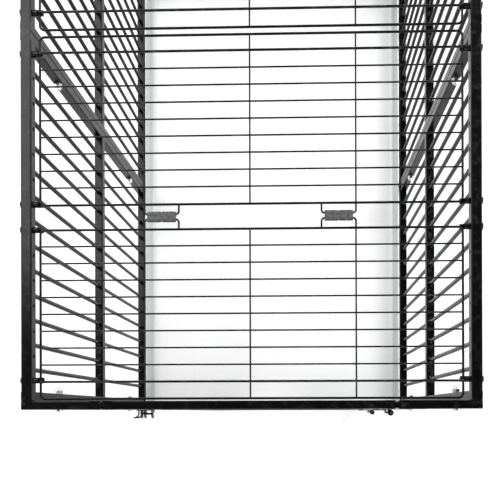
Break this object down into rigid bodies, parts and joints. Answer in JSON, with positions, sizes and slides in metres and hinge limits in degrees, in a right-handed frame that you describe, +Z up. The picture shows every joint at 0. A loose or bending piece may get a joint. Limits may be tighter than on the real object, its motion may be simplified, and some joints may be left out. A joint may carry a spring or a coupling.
{
  "type": "bird cage on stand",
  "caption": "Flight cage of bolt-together bar panels with a wire roof in folding pairs, a front door, a slide-out tray and a tall wheeled stand with a wire shelf.",
  "frame": {"origin": "on the floor, under the middle of the whole outline", "axes": "+Z up, the door faces -Y, +X to the right of a person who faces the door"},
  "size_m": [0.4652, 0.7758, 1.371],
  "materials": {
    "powder_black": "satin black powder coat",
    "dark_steel": "thin dark coat on pressed sheet",
    "zinc": "bright zinc plate",
    "white_plastic": "satin white moulding",
    "black_plastic": "matt black moulding",
    "rubber": "matt black tyre"
  },
  "bodies": {
    "root": {"side_panel_left_front": "powder_black", "side_panel_left_rear": "powder_black", "side_panel_right_front": "powder_black", "side_panel_right_rear": "powder_black", "front_panel_left": "powder_black", "front_panel_right": "powder_black", "rear_panel": "powder_black", "roof_grid_front_outer": "powder_black", "roof_grid_front_inner": "powder_black", "roof_grid_rear_inner": "powder_black", "roof_grid_rear_outer": "powder_black", "roof_clips_front": "dark_steel", "roof_clips_rear": "dark_steel", "roof_hooks": "powder_black", "roof_screws": "powder_black", "panel_bolts": "zinc", "cap_nuts": "zinc", "hinge_pins": "zinc", "latch_keeper": "powder_black", "tray_runner_left": "powder_black", "tray_runner_right": "powder_black", "upper_rail_left": "powder_black", "upper_rail_right": "powder_black", "upper_cross_front": "powder_black", "upper_cross_rear": "powder_black", "leg_front_left": "powder_black", "leg_front_right": "powder_black", "leg_rear_left": "powder_black", "leg_rear_right": "powder_black", "lower_rail_left": "powder_black", "lower_rail_right": "powder_black", "lower_cross_front": "powder_black", "lower_cross_rear": "powder_black", "shelf": "powder_black", "stand_screws": "zinc", "rail_end_caps": "black_plastic", "caster_sockets": "black_plastic"},
    "door": {"door": "powder_black", "hinge_sockets": "powder_black", "latch_guide": "powder_black"},
    "latch_bolt": {"latch_bolt": "zinc"},
    "tray": {"tray": "white_plastic"},
    "caster_front_left": {"caster_fork_front_left": "zinc", "caster_axle_front_left": "zinc"},
    "wheel_front_left": {"caster_wheel_front_left": "rubber"},
    "caster_front_right": {"caster_fork_front_right": "zinc", "caster_axle_front_right": "zinc"},
    "wheel_front_right": {"caster_wheel_front_right": "rubber"},
    "caster_rear_left": {"caster_fork_rear_left": "zinc", "caster_axle_rear_left": "zinc"},
    "wheel_rear_left": {"caster_wheel_rear_left": "rubber"},
    "caster_rear_right": {"caster_fork_rear_right": "zinc", "caster_axle_rear_right": "zinc"},
    "wheel_rear_right": {"caster_wheel_rear_right": "rubber"},
    "brake_front_left": {"brake_lever_front_left": "black_plastic"},
    "brake_front_right": {"brake_lever_front_right": "black_plastic"}
  },
  "joints": [
    {"name": "door_hinge", "type": "hinge", "parent": "root", "child": "door", "pos_m": [0.1576, -0.3812, 1.145], "axis": [0, 0, 1], "range_deg": [0, 170]},
    {"name": "latch_slide", "type": "slide", "parent": "door", "child": "latch_bolt", "axis": [-1, 0, 0], "range_m": [0, 0.0043]},
    {"name": "tray_slide", "type": "slide", "parent": "root", "child": "tray", "axis": [0, -1, 0], "range_m": [0, 0.62]},
    {"name": "caster_swivel_front_left", "type": "hinge", "parent": "root", "child": "caster_front_left", "pos_m": [-0.221, -0.3669, 0.06], "axis": [0, 0, 1], "continuous": true},
    {"name": "wheel_spin_front_left", "type": "hinge", "parent": "caster_front_left", "child": "wheel_front_left", "pos_m": [-0.221, -0.3519, 0.025], "axis": [1, 0, 0], "continuous": true},
    {"name": "caster_swivel_front_right", "type": "hinge", "parent": "root", "child": "caster_front_right", "pos_m": [0.221, -0.3669, 0.06], "axis": [0, 0, 1], "continuous": true},
    {"name": "wheel_spin_front_right", "type": "hinge", "parent": "caster_front_right", "child": "wheel_front_right", "pos_m": [0.221, -0.3519, 0.025], "axis": [1, 0, 0], "continuous": true},
    {"name": "caster_swivel_rear_left", "type": "hinge", "parent": "root", "child": "caster_rear_left", "pos_m": [-0.221, 0.3761, 0.06], "axis": [0, 0, 1], "continuous": true},
    {"name": "wheel_spin_rear_left", "type": "hinge", "parent": "caster_rear_left", "child": "wheel_rear_left", "pos_m": [-0.221, 0.3611, 0.025], "axis": [1, 0, 0], "continuous": true},
    {"name": "caster_swivel_rear_right", "type": "hinge", "parent": "root", "child": "caster_rear_right", "pos_m": [0.221, 0.3761, 0.06], "axis": [0, 0, 1], "continuous": true},
    {"name": "wheel_spin_rear_right", "type": "hinge", "parent": "caster_rear_right", "child": "wheel_rear_right", "pos_m": [0.221, 0.3611, 0.025], "axis": [1, 0, 0], "continuous": true},
    {"name": "brake_pedal_left", "type": "hinge", "parent": "caster_front_left", "child": "brake_front_left", "pos_m": [-0.221, -0.3379, 0.052], "axis": [-1, 0, 0], "range_deg": [0, 20]},
    {"name": "brake_pedal_right", "type": "hinge", "parent": "caster_front_right", "child": "brake_front_right", "pos_m": [0.221, -0.3379, 0.052], "axis": [-1, 0, 0], "range_deg": [0, 20]}
  ]
}
